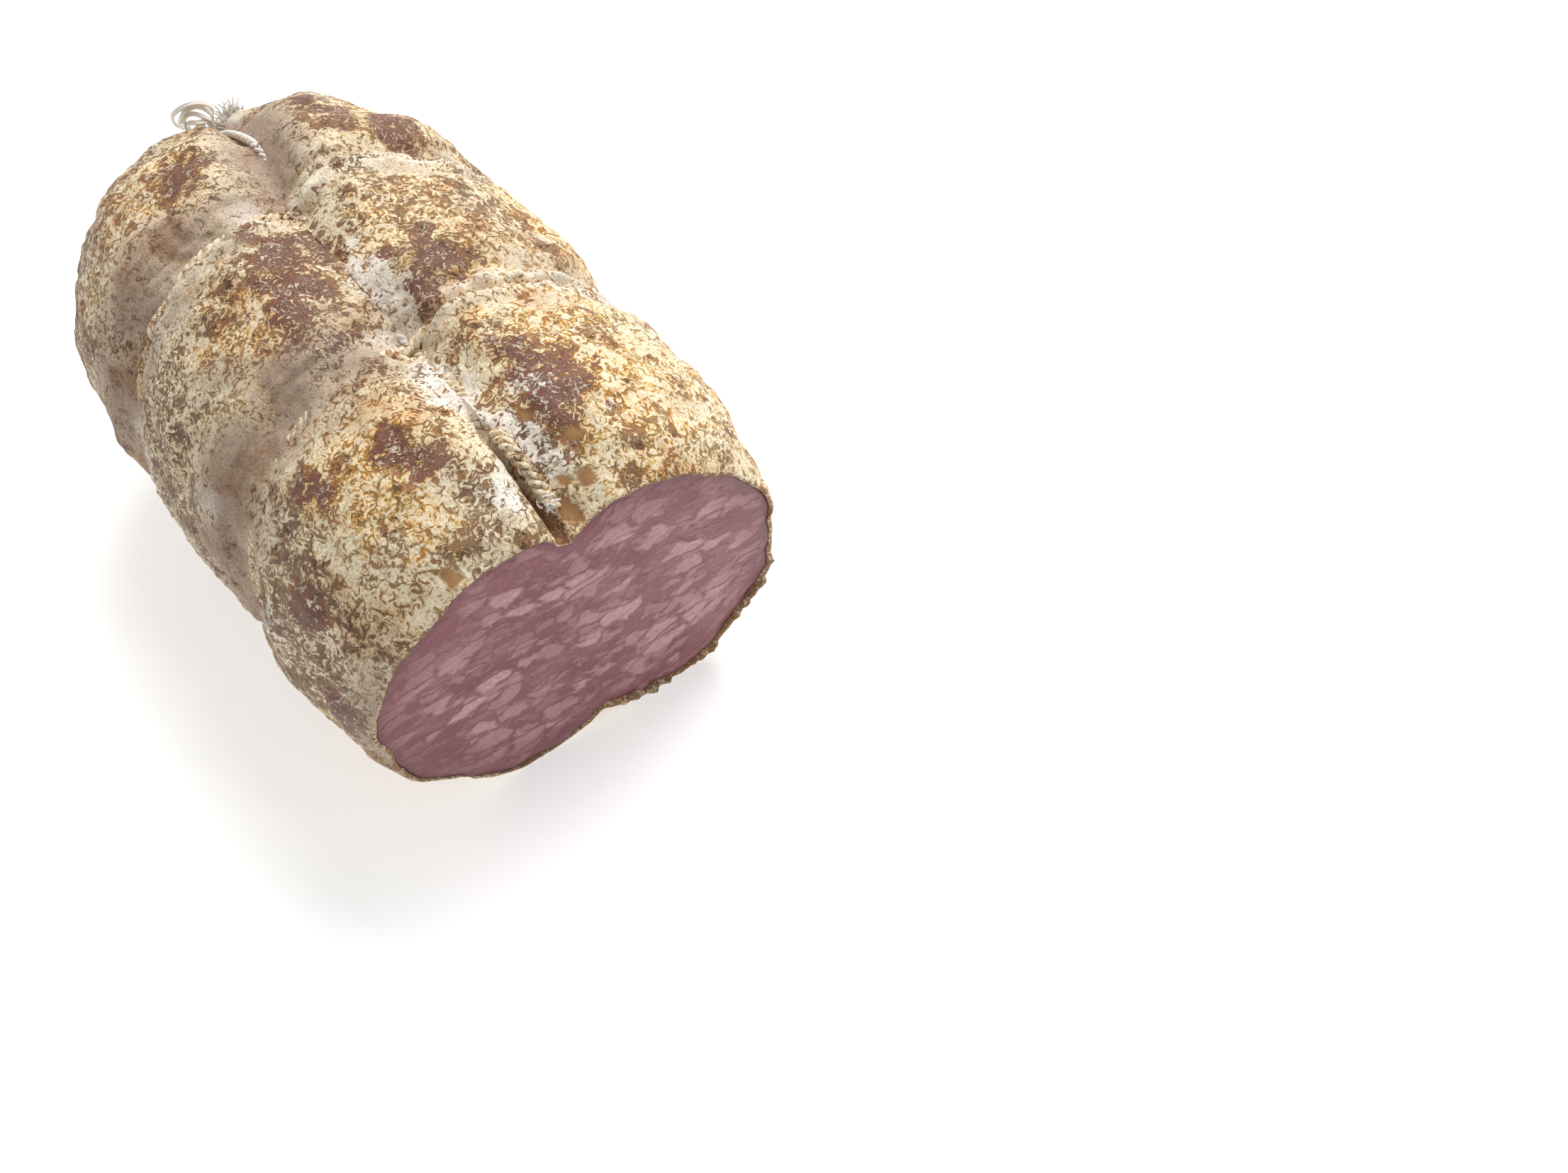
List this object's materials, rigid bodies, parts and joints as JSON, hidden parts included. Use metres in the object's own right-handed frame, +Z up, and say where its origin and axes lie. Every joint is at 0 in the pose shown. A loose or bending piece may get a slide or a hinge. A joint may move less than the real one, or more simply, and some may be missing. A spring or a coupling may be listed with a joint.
{
  "type": "cured sausage",
  "caption": "Tied cured sausage with one end cut off: rounded tied end, heart-shaped cut face of lean and fat, mould-dusted casing pinched by lengthwise and girth strings.",
  "frame": {"origin": "on the resting surface, under the middle of the whole sausage with its tied neck", "axes": "+Y along the sausage from the cut end to the tied end, +Z up, +X to the right when facing the tied end"},
  "size_m": [0.09, 0.155, 0.0787],
  "materials": {
    "cured_meat": "matt cut face of dusky lean with paler grains of fat",
    "mouldy_casing": "dry natural casing under a powdery cream, ochre, rust and grey bloom",
    "twine": "twisted twine, dusted with bloom",
    "loop_strand": "thin pale strand, slightly glossy and see-through"
  },
  "bodies": {
    "root": {"meat": "cured_meat", "casing": "mouldy_casing", "top_string": "twine", "underside_string": "twine", "front_girth_string": "twine", "front_hitch": "twine", "rear_girth_string": "twine", "rear_hitch": "twine", "neck_tie": "twine", "loop_strand_1": "loop_strand", "loop_strand_2": "loop_strand", "loop_strand_3": "loop_strand", "loop_strand_4": "loop_strand", "loop_strand_5": "loop_strand", "tie_tail_1": "twine", "tie_tail_2": "twine"}
  },
  "joints": []
}
